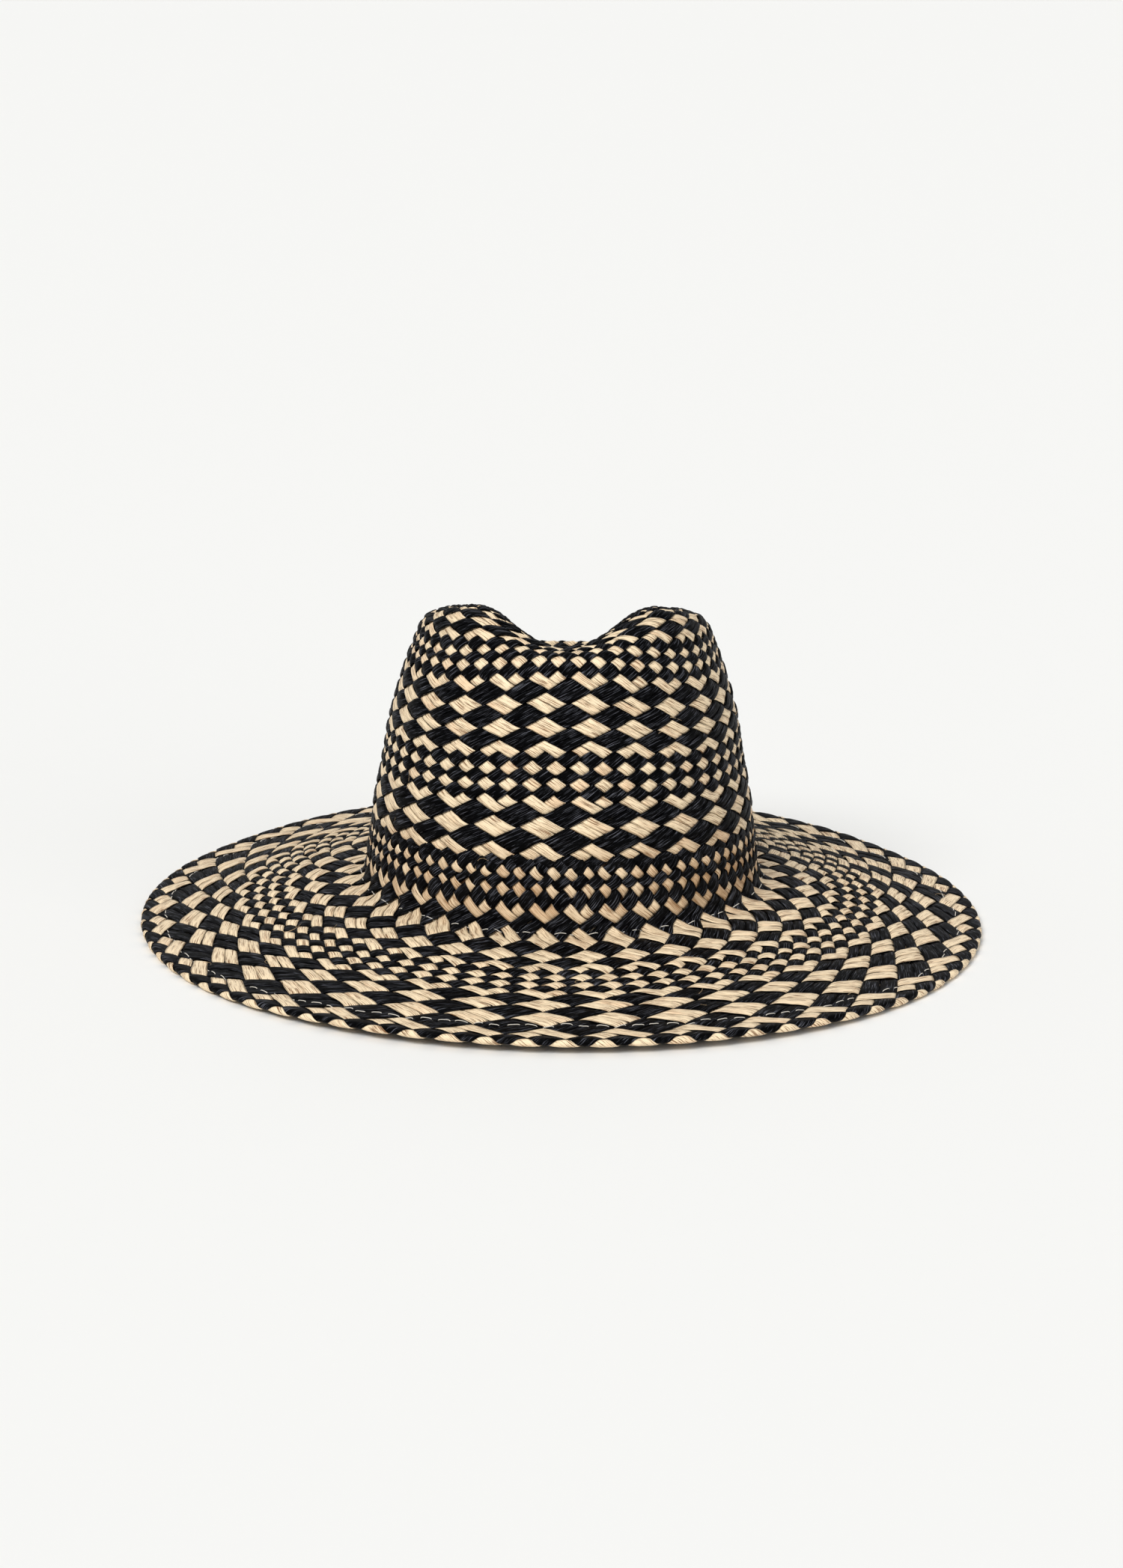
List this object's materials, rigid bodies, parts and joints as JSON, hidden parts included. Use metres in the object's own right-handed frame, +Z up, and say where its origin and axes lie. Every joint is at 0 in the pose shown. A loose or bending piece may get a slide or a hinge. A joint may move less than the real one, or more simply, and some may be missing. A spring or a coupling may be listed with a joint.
{
  "type": "straw fedora",
  "caption": "Wide-brim fedora plaited in checks of natural and black straw, with a centre crease, a folded brim edge and a sweatband.",
  "frame": {"origin": "middle of the hat's bounding box at the bottom, on the surface that the brim's edge rests on", "axes": "+Z up out of the crown, -Y towards the front of the hat, +X to the side, with the head's length along Y"},
  "size_m": [0.3836, 0.4106, 0.1566],
  "materials": {
    "natural_straw": "natural cream straw strips with darker fibre lines and a soft sheen",
    "dark_straw": "black dyed fibre bundles with fine grey glints",
    "band_leather": "dark brown matt leather",
    "thread": "off-white sewing thread"
  },
  "bodies": {
    "root": {"woven_body": "natural_straw", "brim_edge": "dark_straw", "sweatband": "band_leather"}
  },
  "joints": []
}
